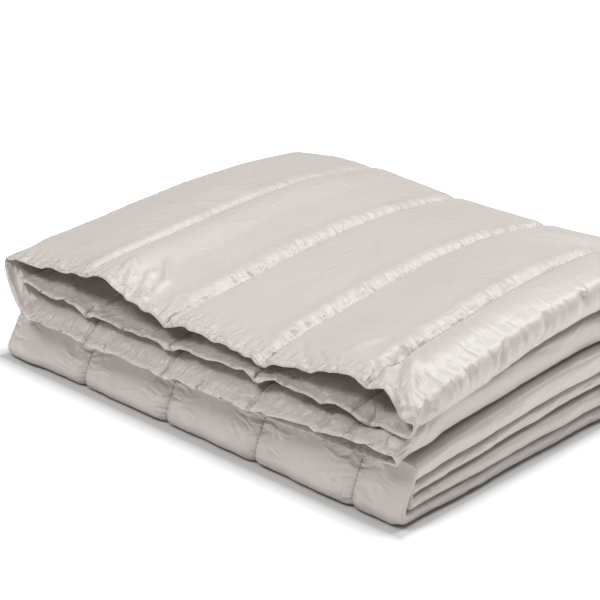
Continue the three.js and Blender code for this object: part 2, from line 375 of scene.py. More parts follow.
# Faint wrinkles strewn over the top, mostly across the channels, and its soft unevenness
wrinkleRanges = dict(
    x=(-235.0, 225.0), back=(25.0, 370.0), length=(16.0, 52.0), angle=(-0.9, 0.9), bend=(-0.15, 0.15),
    width=(1.8, 3.2), height=(0.35, 1.0),
)


def wrinkleHeight(x, back, count=70, seed=77, soft=0.5, softSpan=(28.0, 40.0), softSeed=78):
    draw = np.random.default_rng(seed)
    total = soft * clothNoise(x / softSpan[0], back / softSpan[1], softSeed)
    wrinkles = []
    for k in range(count):
        drawn = {name: draw.uniform(*limits) for name, limits in wrinkleRanges.items()}
        startX, startBack, bend = drawn["x"], drawn["back"], drawn["bend"]
        spanX = drawn["length"] * math.cos(drawn["angle"])
        spanBack = drawn["length"] * math.sin(drawn["angle"])
        middle = (startX + spanX / 2.0 - bend * spanBack, startBack + spanBack / 2.0 + bend * spanX)
        path = [(startX, startBack), middle, (startX + spanX, startBack + spanBack)]
        wrinkles.append((drawn["height"], drawn["width"], path))
    return addCreases(total, wrinkles, x, back, lambda progress: np.sin(np.pi * progress))


# Seams of the top layer by their number: how far the gathered ridge beside each one reaches, and how
# strongly the thread gathers the cloth there, along the seam
topSeams = {
    5: dict(reach=11.0, gather=[
        (0, 0.8), (60, 1.0), (140, 0.8), (220, 0.4), (300, 0.3), (375, 0.3), (430, 0.7), (480, 0.5),
    ]),
    6: dict(reach=11.0, gather=[
        (0, 0.9), (50, 0.8), (120, 1.0), (200, 0.6), (290, 0.8), (375, 0.3), (420, 0.8), (480, 0.6),
    ]),
    7: dict(reach=12.0, gather=[
        (0, 0.7), (30, 1.0), (130, 1.0), (220, 0.5), (320, 0.8), (375, 0.3), (440, 0.6), (480, 0.4),
    ]),
    8: dict(reach=6.0, gather=[
        (0, 0.6), (100, 0.5), (200, 0.6), (300, 0.4), (375, 0.3), (430, 0.6), (480, 0.5),
    ]),
    9: dict(reach=5.0, gather=[(0, 0.5), (375, 0.3)]),
}


def pastSeams(across):
    return [(number, seam, across - number * channelWidth) for number, seam in topSeams.items()]


def gatherStrength(seam, along):
    return np.interp(along, *zip(*seam["gather"]))


# The ridge beside each seam, narrower and lower towards the rear
def seamRidge(
    across, back, peak=2.6, rear=(150.0, 370.0), narrowing=0.45, lowering=0.6, middle=0.9, width=0.75,
):
    total = 0.0 * (across + back)
    rear = smooth(*rear, back)
    for number, seam, past in pastSeams(across):
        reach = seam["reach"] * (1.0 - narrowing * rear)
        height = peak * (1.0 - lowering * rear)
        total = total + height * np.exp(-((past - middle * reach) / (width * reach)) ** 2)
    return total


# Pointed gathers that stand on a seam like small tents, at uneven distances
tentRanges = dict(reach=(0.8, 2.0), halfWidth=(3.5, 10.0), slant=(-0.6, 0.6), peak=(1.2, 3.6))


def seamTents(across, back, first=8.0, last=370.0, distance=(9.0, 34.0), power=0.8, foot=5.0, seed=60):
    total = 0.0 * (across + back)
    for number, seam, past in pastSeams(across):
        draw = np.random.default_rng(seed + number)
        place = first
        while place < last:
            drawn = {name: draw.uniform(*limits) for name, limits in tentRanges.items()}
            aside = np.abs(back - place - drawn["slant"] * past) / drawn["halfWidth"]
            tent = np.maximum(0.0, 1.0 - past / (drawn["reach"] * seam["reach"]) - aside)
            peak = drawn["peak"] * gatherStrength(seam, place)
            total = total + peak * tent ** power * smooth(0.0, foot, past)
            place += draw.uniform(*distance)
    return total


def stripShare(strip, across):
    return (across - strip["start"]) / (strip["stop"] - strip["start"])


turnedOver = (1.0, -1.0, 1.0)  # the middle panel lies upside down


# A point of one face in a panel; face is 1 on the outer side of the cloth and -1 on the inner side
def layerPoint(strip, across, face, panel, back, edge):
    name = strip["name"]
    share = stripShare(strip, across)
    along = share if strip["towards"] > 0 else 1.0 - share
    x = mix(runEnd(name, -1, panel, back), runEnd(name, 1, panel, back), along)
    heights = stackHeights(x, back)
    filledEdge = edge * hemFullness[name] if panel == 0 else edge
    half = halfThickness(across, filledEdge, roomAround(heights, panel, name))
    z = heights[panel, name] + strip["up"] * face * turnedOver[panel] * half
    if panel == 2 and name == "fourth" and face < 0:
        nearSeam = 1.0 - smooth(0.0, folded["floorSeamShare"], seamShare(across))
        z = folded["floorSeamLift"] * nearSeam + 0.0 * x
    if panel == 0:
        z = z + rippleHeight(hemRipples[name], across, edge)
    if panel == 0 and name == "top":
        toSeam = seamDistance(across)
        rear = smooth(folded["rearSeamStart"], folded["backTurnStart"], back)
        z = z + topFoldHeight(x, back)
        z = z + folded["rearSeamLift"] * rear * np.exp(-(toSeam / folded["rearSeamWidth"]) ** 2)
        if face > 0:
            z = z + seamRidge(across, back) * smooth(quilt["hemWidth"], quilt["hemTaper"], edge)
            z = z + seamTents(across, back) * smooth(0.0, quilt["hemWidth"], edge)
            z = z + wrinkleHeight(x, back) * smooth(0.0, folded["wrinkleGap"], toSeam)
    return x, z


def foldPoint(strip, across, face, panel, back, edge):
    upper, lower, side = strip["upper"], strip["lower"], strip["side"]
    share = stripShare(strip, across)
    angle = np.radians(mix(*strip["turn"], share))
    sine = np.sin(angle)
    upShare = (1.0 + sine) / 2.0
    reach = strip["reach"]
    if panel == 0 and strip["name"] == "lowerFold":
        reach = reach - folded["foldShrink"] * smooth(*folded["foldShrinkDepth"], back)
    if panel == 0 and strip["name"] == "leftFold":
        reach = reach - folded["tipShrink"] * (1.0 - smooth(0.0, folded["tipShrinkDepth"], back))
    start = runEnd(lower, side, panel, back)
    stop = runEnd(upper, side, panel, back)
    lowHeights = stackHeights(start, back)
    highHeights = stackHeights(stop, back)
    low = lowHeights[panel, lower]
    high = highHeights[panel, upper]
    spread = np.abs(high - low) / 2.0
    room = mix(roomAround(lowHeights, panel, lower), roomAround(highHeights, panel, upper), upShare)
    room = np.minimum(room, folded["foldFill"] * np.minimum(spread, reach))
    puff = strip["outward"] * face * halfThickness(across, edge, room)
    bulge = reach + puff + foldWander(strip, panel, share, back)
    x = mix(start, stop, upShare) + side * np.maximum(np.cos(angle), 0.0) ** strip["square"] * bulge
    z = (high + low) / 2.0 + turnedOver[panel] * sine * (spread + puff)
    if panel == 0:
        shares = [mix(hemRipples[lower][i], hemRipples[upper][i], upShare) for i in (0, 1)]
        z = z + rippleHeight(shares, across, edge)
        if upper == "top":
            z = z + topFoldHeight(x, back) * upShare ** 2
    return x, z


# Half turn from one panel to the next, nested by its height
def turnPoint(first, second, start, direction, progress, depthShare, extra):
    sine = np.cos(np.pi * progress)
    half = (first[1] - second[1]) / 2.0
    x = mix(second[0], first[0], (1.0 + sine) / 2.0)
    reach = np.sin(np.pi * progress)
    if direction < 0:
        turned = progress ** folded["frontSag"]
        square = np.where(turned > 0.5, folded["frontSquare"], 1.0)
        reach = np.maximum(np.sin(np.pi * turned), 0.0) ** square
    y = start + direction * (depthShare * half + extra) * reach
    return np.stack([x, y, (first[1] + second[1]) / 2.0 + sine * half], -1)


# Uneven swelling of the channels on a turn: height, span across, waves along and seed of each noise
swelling = dict(
    front=[(1.5, 24.0, 2.2, 31), (0.7, 9.0, 3.0, 32)],
    back=[(1.4, 30.0, 2.5, 33), (0.8, 11.0, 5.0, 34)],
)


# Depth of a turn as a share of its half height, and the swelling of the channels that show on it
def turnDepth(strip, across, face, atFront, x, turned, frontPuff=1.4, backInset=25.0, power=0.5):
    share = folded["backTurn"]
    if atFront:
        share = mix(folded["leftTurn"], folded["frontTurn"], smooth(*folded["leftTurnEnd"], x))
    shown = ("lowerFold", "fourth") if atFront else ("top",)
    if atFront == (face > 0) or strip["name"] not in shown:
        return share, 0.0
    waves = swelling["front" if atFront else "back"]
    soft = sum(
        height * clothNoise(across / span, turned * many, seed) for height, span, many, seed in waves
    )
    channel = np.sin(np.pi * channelShare(across)) ** power
    if atFront:
        return share, (frontPuff + soft) * channel
    toEnd = np.minimum(across - strip["start"], strip["stop"] - across)
    return share, soft * smooth(0.0, backInset, toEnd) * channel


# The value of a layer, blended from one layer to the other in a fold
def layerValue(values, strip, across):
    if "upper" not in strip:
        return values[strip["name"]] + 0.0 * across
    angle = np.radians(mix(*strip["turn"], stripShare(strip, across)))
    return mix(values[strip["lower"]], values[strip["upper"]], (1.0 + np.sin(angle)) / 2.0)


hemWander = [(1.3, 8.0, 31), (1.0, 31.0, 32)]  # height, span and seed of each noise in a hem's line


# Points of a grid of the cloth, across (columns) and along (rows), on one face
def clothPoints(strip, across, along, face):
    across = np.asarray(across, float)[:, None]
    along = np.asarray(along, float)[None, :]
    points = np.zeros((across.shape[0], along.shape[1], 3))
    hem = layerValue(hemSetback, strip, across)
    far = layerValue(lastHem, strip, across)
    for height, span, seed in hemWander:
        hem = hem + height * lineNoise(across / span, seed)
    ones = np.ones_like(across)
    deep = quilt["hemTaper"]
    findPoint = foldPoint if "upper" in strip else layerPoint

    def rowsOf(first, last):
        chosen = (along[0] >= first) & ((along[0] < last) | (last == alongEnd))
        return chosen, (along[:, chosen] - first) / (last - first)

    def flatPart(first, last, panel, start, stop, edgeOf):
        chosen, share = rowsOf(first, last)
        back = mix(start, stop, share)
        x, z = findPoint(strip, across, face, panel, back, edgeOf(back))
        points[:, chosen] = np.stack([x + 0.0 * back, back + 0.0 * x, z + 0.0 * back], -1)

    def turnPart(first, last, panels, start, direction):
        chosen, share = rowsOf(first, last)
        one, two = [findPoint(strip, across, face, panel, start * ones, deep * ones) for panel in panels]
        depth = turnDepth(strip, across, face, direction < 0, one[0], share)
        points[:, chosen] = turnPoint(one, two, start, direction, share, *depth)

    backStart, frontStart = folded["backTurnStart"], folded["frontTurnStart"]
    flatPart(alongTop, alongBack, 0, hem, backStart, lambda back: back - hem)
    flatPart(alongMiddle, alongFront, 1, backStart, frontStart, lambda back: deep + 0.0 * back)
    flatPart(alongBottom, alongEnd, 2, frontStart, far, lambda back: far - back)
    turnPart(alongBack, alongMiddle, (0, 1), backStart, 1.0)
    turnPart(alongFront, alongBottom, (1, 2), frontStart, -1.0)
    points[:, :, 1] -= folded["depth"] / 2.0
    return points


# Spacing of the mesh. Rows: one step for each panel and turn along the cloth, or a list of places with
# the step at each. Columns: how many in a channel or fold, with the name of their rows.

rowSpacing = dict(
    showing=(2.2, [(375, 2.2), (376, 3.2)], 50, 7.5, 55),
    band=(2.2, [(375, 2.2), (376, 3.2)], 7, 3.75, 7),
    openHem=([(60, 2.4), (100, 9), (150, 30)], 13.75, 60, 7.5, 60),
    foldBand=([(40, 2.4), (70, 7)], 4, 7, 2.5, 7),
    frontFace=(
        [(20, 4), (60, 30)], 13.75, [(720, 60), (740, 20), (790, 6), (800, 4), (837, 3)], 2.2,
        [(898, 3), (940, 4), (980, 36), (1200, 36), (1230, 8), (1273, 4)],
    ),
    hidden=([(20, 6), (60, 30)], 13.75, 60, 7.5, 60),
)
hemRows = [0.0, 2.3, 4.7, 7.0]
longestStep = 1.4  # the last step of a panel or turn may be this much longer
columnGap = 0.4  # columns keep this share of their distance from the end of a strip
meshPlan = dict(
    outer=dict(
        second=(13, "hidden"), upperFold=(20, "band"), top=(37, "showing"), leftFold=(15, "band"),
        third=(13, "hidden"), lowerFold=(6, "hidden"), fourth=(5, "hidden"),
    ),
    inner=dict(
        second=(33, "openHem"), upperFold=(10, "hidden"), top=(18, "hidden"), leftFold=(15, "openHem"),
        third=(33, "openHem"), lowerFold=(17, "foldBand"), fourth=(27, "frontFace"),
    ),
)


# Rows also fall exactly where a panel ends and a turn begins
def rowPlaces(name):
    rows = [quilt["hemWidth"]]
    limits = (alongBack, alongMiddle, alongFront, alongBottom, alongEnd - quilt["hemWidth"])
    for limit, steps in zip(limits, rowSpacing[name]):
        table = steps if isinstance(steps, list) else [(limit, steps)]
        while rows[-1] < limit:
            step = float(np.interp(rows[-1], *zip(*table)))
            rows.append(limit if rows[-1] + longestStep * step > limit else rows[-1] + step)
    return np.array(hemRows[:-1] + rows[:-1] + [alongEnd - row for row in hemRows[::-1]])


def columnPlaces(strip, density):
    start, stop = strip["start"], strip["stop"]
    if "upper" in strip:
        return np.linspace(start, stop, density + 1)[1:-1]
    step = channelWidth / density
    first = math.ceil((start + columnGap * step) / step)
    last = math.floor((stop - columnGap * step) / step)
    return np.concatenate([[start], np.arange(first, last + 1) * step, [stop]])


# One face as columns of points, each strip with its own rows
def faceColumns(faceName, face):
    columns = []
    for strip in strips:
        density, rowName = meshPlan[faceName][strip["name"]]
        across = columnPlaces(strip, density)
        along = rowPlaces(rowName)
        points = clothPoints(strip, across, along, face)
        for i in range(len(across)):
            columns.append(dict(strip=strip, across=across[i], along=along, points=points[i]))
    return columns


# Joins two neighbouring rows of points, in pairs where their places agree and by triangles elsewhere
def zipRows(first, second, firstPlaces, secondPlaces, flip):
    faces = []
    i = j = 0
    while i < len(first) - 1 or j < len(second) - 1:
        nextFirst = firstPlaces[i + 1] if i < len(first) - 1 else math.inf
        nextSecond = secondPlaces[j + 1] if j < len(second) - 1 else math.inf
        if abs(nextFirst - nextSecond) < samePlace:
            faces.append((first[i], first[i + 1], second[j + 1], second[j]))
            i, j = i + 1, j + 1
        elif nextFirst < nextSecond:
            faces.append((first[i], first[i + 1], second[j]))
            i += 1
        else:
            faces.append((first[i], second[j + 1], second[j]))
            j += 1
    return [face[::-1] for face in faces] if flip else faces


def buildQuilt():
    points, across, along, side, faces = [], [], [], [], []
    sheets = {}
    for faceName, face in (("outer", 1.0), ("inner", -1.0)):
        columns = faceColumns(faceName, face)
        for column in columns:
            count = len(column["along"])
            column["index"] = np.arange(len(points), len(points) + count)
            points.extend(column["points"])
            across.extend([column["across"]] * count)
            along.extend(column["along"])
            side.extend([face] * count)
        sheets[faceName] = columns

    def joinColumns(left, right, flip):
        faces.extend(zipRows(left["index"], right["index"], left["along"], right["along"], flip))

    outer, inner = sheets["outer"], sheets["inner"]
    for columns, flip in ((outer, False), (inner, True)):
        for left, right in zip(columns[:-1], columns[1:]):
            joinColumns(left, right, flip)
    for row, flip in ((0, False), (-1, True)):
        ends = [[column["index"][row] for column in columns] for columns in (outer, inner)]
        places = [[column["across"] for column in columns] for columns in (outer, inner)]
        faces.extend(zipRows(*ends, *places, flip))
    joinColumns(outer[0], inner[0], True)
    joinColumns(outer[-1], inner[-1], False)
    return dict(
        points=np.array(points), across=np.array(across), along=np.array(along), side=np.array(side),
        faces=faces, sheets=sheets,
    )


# Normals for the thread, from the faces with four corners
def vertexNormals(points, faces):
    normals = np.zeros_like(points)
    chosen = np.array([face for face in faces if len(face) == 4])
    corners = points[chosen]
    crossed = np.cross(corners[:, 2] - corners[:, 0], corners[:, 3] - corners[:, 1])
    for k in range(4):
        np.add.at(normals, chosen[:, k], crossed)
    return normals / (np.linalg.norm(normals, axis=1, keepdims=True) + tinyArea)


cover = buildQuilt()
print("quilt:", len(cover["points"]), "points,", sum(len(face) - 2 for face in cover["faces"]), "triangles")


# Cloth settling: a grid of points with cloth lengths of its own, pinned where it is sewn. The patches come
# in turn: the top with its side folds, the hems of the second and third layer, the front turn.

settling = dict(
    steps=200,
    growSteps=120,  # the spare cloth comes in over these steps
    damping=0.9,
    pressure=0.012,  # push of the fill in each step, mm
    bendAlong=0.03,  # stiffness against tight creases
    bendAcross=0.01,
    slantStiffness=0.4,
    sink=1.6,  # how far a point may move in and out of its first place, mm
    rise=3.4,
    startNoise=0.3,
    noiseSpan=2.5,
)
seamHold = 0.6  # points this close to a seam are pinned, mm
heldRows = 2


def gridNormals(points, outward):
    crossed = np.cross(np.gradient(points, axis=1), np.gradient(points, axis=0)) * outward
    return crossed / (np.linalg.norm(crossed, axis=-1, keepdims=True) + tinyArea)


def bendForce(moves, axis):
    rows = np.moveaxis(moves, axis, 0)
    force = np.zeros_like(rows)
    force[2:-2] = rows[:-4] - 4.0 * rows[1:-3] + 6.0 * rows[2:-2] - 4.0 * rows[3:-1] + rows[4:]
    return np.moveaxis(force, 0, axis)


# Pairs of neighbours that keep their cloth length, in groups that share no point
def clothLinks(first, free, spare, stepAcross, stepAlong, stiffness):
    columns, rows = free.shape
    links = []
    for k in (0, 1):
        if stepAcross:
            column = np.arange(k, columns - 1, 2)
            row = np.arange(max(0, -stepAlong), rows - max(0, stepAlong))
        else:
            column = np.arange(columns)
            row = np.arange(k, rows - 1, 2)
        start = np.ix_(column, row)
        stop = np.ix_(column + stepAcross, row + stepAlong)
        length = np.linalg.norm(first[stop] - first[start], axis=-1)
        total = np.maximum(free[start] + free[stop], tiny)
        extra = (spare[start] + spare[stop]) / 2.0
        startShare, stopShare = (stiffness * free[end] / total for end in (start, stop))
        links.append((start, stop, length, extra, startShare, stopShare))
    return links


# Cloth with spare length along (rows) and across (columns) buckles between the points that are held
def settleCloth(first, free, spareAlong, spareAcross, outward, seed, **changes):
    use = dict(settling, **changes)
    normals = gridNormals(first, outward)
    spots = np.indices(free.shape) / use["noiseSpan"]
    now = first + normals * (free * clothNoise(spots[0], spots[1], seed) * use["startNoise"])[..., None]
    before = now
    slanted = (spareAlong + spareAcross) / 2.0
    links = clothLinks(first, free, spareAlong, 0, 1, 1.0) + clothLinks(first, free, spareAcross, 1, 0, 1.0)
    for stepAlong in (1, -1):
        links += clothLinks(first, free, slanted, 1, stepAlong, use["slantStiffness"])
    loose = free[..., None]
    for step in range(use["steps"]):
        grown = min(1.0, (step + 1) / use["growSteps"])
        pushed = (now - before) * use["damping"] + gridNormals(now, outward) * use["pressure"]
        before = now
        now = now + pushed * loose
        moves = now - first
        bent = use["bendAlong"] * bendForce(moves, 1) + use["bendAcross"] * bendForce(moves, 0)
        now = now - bent * loose
        for start, stop, length, extra, startShare, stopShare in links:
            gap = now[stop] - now[start]
            size = np.linalg.norm(gap, axis=-1) + tiny
            shift = gap * ((size - length * (1.0 + extra * grown)) / size)[..., None]
            now[start] += shift * startShare[..., None]
            now[stop] -= shift * stopShare[..., None]
        height = ((now - first) * normals).sum(-1)
        now = now + normals * (np.clip(height, -use["sink"], use["rise"]) - height)[..., None]
    return now


# The grid of one face made by the strips of a patch, and which of its points are free to move
def patchGrid(patch):
    sheet = cover["sheets"][patch["sheet"]]
    columns = [column for column in sheet if column["strip"]["name"] in patch["strips"]]
    along = columns[len(columns) // 2]["along"]
    rows = np.where((along >= patch["start"]) & (along <= patch["stop"]))[0]
    index = np.array([column["index"][rows] for column in columns])
    across = np.array([column["across"] for column in columns])[:, None] + 0.0 * along[rows][None, :]
    along = along[rows][None, :] + 0.0 * across
    free = np.ones(across.shape)
    free[(seamDistance(across) < seamHold) & (along > patch["freeHem"])] = 0.0
    free[:heldRows] = 0.0
    free[-heldRows:] = 0.0
    free[:, -heldRows:] = 0.0
    if patch["start"] > 0.0:
        free[:, :heldRows] = 0.0
    return index, across, along, free


# The other face of the cloth follows a settled hem, less so further in, and keeps below it
def followHem(sheet, names, across, along, moves, reach=10.0, reaches=3.0, below=9.0, endGap=0.1):
    alongPlaces = along[0]
    acrossPlaces = across[:, 0]
    for column in cover["sheets"][sheet]:
        strip = column["strip"]
        if strip["name"] not in names:
            continue
        rows = column["along"] < reach * reaches
        spot = np.interp(column["across"], acrossPlaces, np.arange(len(acrossPlaces)))
        left = min(int(spot), len(acrossPlaces) - 2)
        nearby = mix(moves[left], moves[left + 1], spot - left)
        toEnd = min(column["across"] - strip["start"], strip["stop"] - column["across"])
        around = np.abs(acrossPlaces - column["across"]) <= min(below, toEnd + endGap)
        if "upper" not in strip and around.any():
            nearby[:, 2] = moves[around, :, 2].min(axis=0)
        places = column["along"][rows]
        shift = np.stack([np.interp(places, alongPlaces, nearby[:, i]) for i in range(3)], -1)
        past = np.maximum(places - quilt["hemWidth"], 0.0)
        cover["points"][column["index"][rows]] += shift * np.exp(-past / reach)[:, None]


# Spare cloth is a share of the length: some everywhere, more near a seam or a hem
hemPatch = dict(
    sheet="inner", start=0.0, stop=90.0, freeHem=12.0, along=0.012, seam=0.14, seamReach=9.0,
    across=0.01, hem=0.10, hemReach=20.0,
)
patches = [
    dict(
        sheet="outer", strips=("upperFold", "top", "leftFold"), start=0.0, stop=480.0, freeHem=7.1, seed=11,
        along=0.012, seam=0.0, seamReach=1.0, across=0.004, hem=0.11, hemReach=14.0, limits={},
    ),
    dict(hemPatch, strips=("second",), seed=12, limits=dict(rise=3.0)),
    dict(hemPatch, strips=("third",), seed=13, limits=dict(rise=3.0, sink=0.7), innerRise=0.6),
    dict(
        sheet="inner", strips=("fourth",), start=800.0, stop=897.0, freeHem=0.0, seed=14, along=0.008,
        seam=0.09, seamReach=14.0, across=0.012, hem=0.0, hemReach=1.0,
        limits=dict(rise=2.0, bendAlong=0.015),
    ),
]
innerRiseFade = (9.0, 26.0)


# Spare cloth along the seams of the top, most of it on one side of each
def topGathers(
    spare, across, along, after=0.24, before=0.14, beforeReach=5.0, middle=0.5, uneven=0.6, unevenSpan=19.0,
):
    for number, seam, past in pastSeams(across):
        strength = gatherStrength(seam, along) * (middle + uneven * lineNoise(along / unevenSpan, number))
        pastSeam = after * np.exp(-past / seam["reach"])
        beforeSeam = before * np.exp(past / beforeReach)
        spare = spare + np.where(past >= 0.0, pastSeam, beforeSeam) * strength
    return spare


def settlePatch(patch):
    onTop = patch["sheet"] == "outer"
    limits = dict(patch["limits"])
    index, across, along, free = patchGrid(patch)
    spareAlong = patch["along"] + patch["seam"] * np.exp(-seamDistance(across) / patch["seamReach"])
    spareAcross = patch["across"] + patch["hem"] * np.exp(-along / patch["hemReach"])
    if onTop:
        spareAlong = topGathers(spareAlong, across, along)
    if "innerRise" in patch:
        limits["rise"] = mix(limits["rise"], patch["innerRise"], smooth(*innerRiseFade, along))
    first = cover["points"][index]
    outward = 1.0 if onTop else -1.0
    settled = settleCloth(first, free, spareAlong, spareAcross, outward, patch["seed"], **limits)
    cover["points"][index] = settled
    if patch["start"] == 0.0:
        followHem("inner" if onTop else "outer", patch["strips"], across, along, settled - first)


for patch in patches:
    settlePatch(patch)
print("cloth settled")


def addObject(name, data):
    made = bpy.data.objects.new(name, data)
    bpy.context.scene.collection.objects.link(made)
    return made


def meshObject(name, points, faces):
    mesh = bpy.data.meshes.new(name)
    corners = [tuple(int(i) for i in face) for face in faces]
    mesh.from_pydata([tuple(point) for point in points * mm], [], corners)
    mesh.validate()
    mesh.polygons.foreach_set("use_smooth", [True] * len(mesh.polygons))
    mesh.update()
    return addObject(name, mesh)


blanket = meshObject("quilt", cover["points"], cover["faces"])
place = blanket.data.attributes.new("clothPlace", "FLOAT_VECTOR", "POINT")
clothPlace = np.stack([cover["across"], cover["along"], cover["side"]], -1).astype(np.float32) * mm
place.data.foreach_set("vector", clothPlace.ravel())


# Stitches: short raised lengths of thread along the seams and the hems

thread = dict(
    length=2.9, pitch=4.2, seam=0.9, hem=0.5, sides=5, lift=0.15, tipSink=0.4,
    rings=(0.26, 0.74),  # where a stitch has its full thickness
)
# Seams that show: face, numbers, and where their thread starts and stops along the cloth
sewnSeams = [
    ("outer", (5, 6, 7, 8, 9), 9.0, 482.0),
    ("inner", (14, 15, 16, 17), 780.0, 1262.0),
    ("inner", (1, 2, 3, 4, 10, 11, 12, 13), 9.0, 110.0),
]


def stitchLine(path, normals, thickness):
    reach = np.concatenate([[0.0], np.cumsum(np.linalg.norm(np.diff(path, axis=0), axis=1))])

    def atDistance(distance, values):
        return np.stack([np.interp(distance, reach, values[:, i]) for i in range(3)], -1)

    centres = np.arange(thread["pitch"], reach[-1] - thread["pitch"], thread["pitch"])
    up = atDistance(centres, normals)
    up = up / np.linalg.norm(up, axis=1, keepdims=True)
    tail = atDistance(centres - thread["length"] / 2.0, path)
    head = atDistance(centres + thread["length"] / 2.0, path)
    ahead = head - tail
    sideways = np.cross(ahead / (np.linalg.norm(ahead, axis=1, keepdims=True) + tiny), up)
    rings = [tail - up * thread["tipSink"]]
    for share in thread["rings"]:
        middle = tail + ahead * share + up * thread["lift"]
        for k in range(thread["sides"]):
            angle = 2.0 * math.pi * k / thread["sides"]
            spoke = up * math.cos(angle) + sideways * math.sin(angle)
            rings.append(middle + spoke * thickness / 2.0)
    rings.append(head - up * thread["tipSink"])
    return np.stack(rings, 1)


def stitchPiece(name, lines, thickness):
    points = np.concatenate([stitchLine(path, normals, thickness) for path, normals in lines])
    points[..., 2] = np.maximum(points[..., 2], 0.0)  # pressed flat where the cloth lies on the floor
    sides = thread["sides"]
    pattern = []
    for k in range(sides):
        near, after = 1 + k, 1 + (k + 1) % sides
        pattern += [(0, after, near), (near, after, sides + after)]
        pattern += [(near, sides + after, sides + near), (sides + near, sides + after, 1 + 2 * sides)]
    count = points.shape[1]
    faces = [tuple(i * count + corner for corner in face) for i in range(len(points)) for face in pattern]
    print(name + ":", len(points), "stitches,", len(faces), "triangles")
    return meshObject(name, points.reshape(-1, 3), faces)


coverNormals = vertexNormals(cover["points"], cover["faces"])


def threadPath(chosen):
    return cover["points"][chosen], coverNormals[chosen]


def seamPath(sheet, number, start, stop):
    nearest = min(cover["sheets"][sheet], key=lambda column: abs(column["across"] - number * channelWidth))
    return threadPath(nearest["index"][(nearest["along"] >= start) & (nearest["along"] <= stop)])


seamLines = [
    seamPath(sheet, number, start, stop) for sheet, numbers, start, stop in sewnSeams for number in numbers
]
stitchRow = len(hemRows) - 1
hemLines = [
    threadPath([column["index"][row] for column in columns])
    for columns in cover["sheets"].values() for row in (stitchRow, -1 - stitchRow)
]
seamStitches = stitchPiece("seam_stitches", seamLines, thread["seam"])
hemStitches = stitchPiece("hem_stitches", hemLines, thread["hem"])


# Finishes

# Links a socket to a wire, or gives it a value
def plug(tree, socket, value):
    if isinstance(value, Wire):
        tree.links.new(value.socket, socket)
    else:
        socket.default_value = value


class Wire:
    def __init__(self, tree, socket):
        self.tree = tree
        self.socket = socket

    def combine(self, operation, first, second=0.0):
        node = self.tree.nodes.new("ShaderNodeMath")
        node.operation = operation
        plug(self.tree, node.inputs[0], first)
        plug(self.tree, node.inputs[1], second)
        return Wire(self.tree, node.outputs[0])

    def limited(self):
        return self.combine("MINIMUM", self, 1.0).positive()

    # 1 where this is 0, down to 0 where it has the given size
    def fading(self, reach):
        return (1.0 - self.size() / reach).limited()


def addOperator(name, operation):
    setattr(Wire, "__%s__" % name, lambda self, other: self.combine(operation, self, other))
    setattr(Wire, "__r%s__" % name, lambda self, other: self.combine(operation, other, self))


def addMethod(name, operation):
    setattr(Wire, name, lambda self: self.combine(operation, self))


operators = dict(add="ADD", sub="SUBTRACT", mul="MULTIPLY", truediv="DIVIDE", pow="POWER")
methods = dict(rounded="ROUND", size="ABSOLUTE", wave="SINE", positive="MAXIMUM")
for name, operation in operators.items():
    addOperator(name, operation)
for name, operation in methods.items():
    addMethod(name, operation)


class Finish:
    def __init__(self, name):
        self.material = bpy.data.materials.new(name)
        self.material.use_nodes = True
        self.tree = self.material.node_tree
        self.shader = self.tree.nodes["Principled BSDF"]

    def add(self, kind, settings=None, sockets=None, output=0):
        node = self.tree.nodes.new(kind)
        for key, value in (settings or {}).items():
            setattr(node, key, value)
        for key, value in (sockets or {}).items():
            plug(self.tree, node.inputs[key], value)
        return Wire(self.tree, node.outputs[output])

    def blend(self, share, first, second):
        return self.add("ShaderNodeMix", dict(data_type="RGBA"), {0: share, 6: first, 7: second}, output=2)

    def noise(self, place, scale, detail, **more):
        return self.add("ShaderNodeTexNoise", None, dict(Vector=place, Scale=scale, Detail=detail, **more))

    # Places drawn together across and along the cloth, so that a noise there looks stretched
    def squeezed(self, place, across, along, shift=0.0):
        sockets = {0: place, 1: (across, along, 1.0), 2: (shift, shift, shift)}
        return self.add("ShaderNodeVectorMath", dict(operation="MULTIPLY_ADD"), sockets)

    def axes(self, place):
        return [self.add("ShaderNodeSeparateXYZ", None, {0: place}, output=i) for i in (0, 1)]

    def bump(self, height, strength):
        return self.add("ShaderNodeBump", None, dict(Height=height, Strength=strength, Distance=1.0))

    def feed(self, **values):
        for key, value in values.items():
            plug(self.tree, self.shader.inputs[key.replace("_", " ")], value)


satin = dict(
    light=(0.555, 0.503, 0.468, 1.0),
    shade=(0.515, 0.465, 0.432, 1.0),
    # painted shade: the cloth's colour is darker in a thin line along each seam, where shade falls in its
    # groove
    paintedSeamShade=(0.30, 0.27, 0.25, 1.0),
    paintedSeamShadeShare=0.5,
    seamLine=0.0015,  # half width of the painted shade along the groove of a seam, m
    roughness=0.32, roughnessSpread=0.12,
    crumpled=0.12, seamCrumpled=0.6, hemCrumpled=0.8,
    frontMiddle=0.868,  # along the cloth, in the middle of the front turn, m
    backMiddle=0.44,
    crest=0.518,  # across the cloth, where the top goes over into the right-hand fold, m
    crestShare=10.0 / 17.0,
    patchFrom=0.42,  # gathers come where a noise is above this
    patchEdge=6.0, sideEdge=60.0,
    streakFrom=0.52, streakEdge=9.0, streakWidth=1.0 / 16.0,
    bump=0.8, weavePitch=0.0007, weaveHeight=0.00001,
)
satinScale = dict(cloud=14.0, crinkle=95.0, facets=150.0, smallFacets=330.0, patches=24.0)
# How far each kind of crumpling reaches, m
satinReach = dict(
    seam=0.026, hem=0.04, besideSeam=0.016, besideHem=0.032, tugs=0.008, folds=0.045,
    front=0.045, back=0.075, crest=0.032, crestAlong=0.45,
)
# Heights of the fine relief, m
satinHeight = dict(
    ridges=0.0006, facets=0.0006, smallFacets=0.00012, seamFacets=0.0008, hemFacets=0.0006, streaks=0.0004,
)
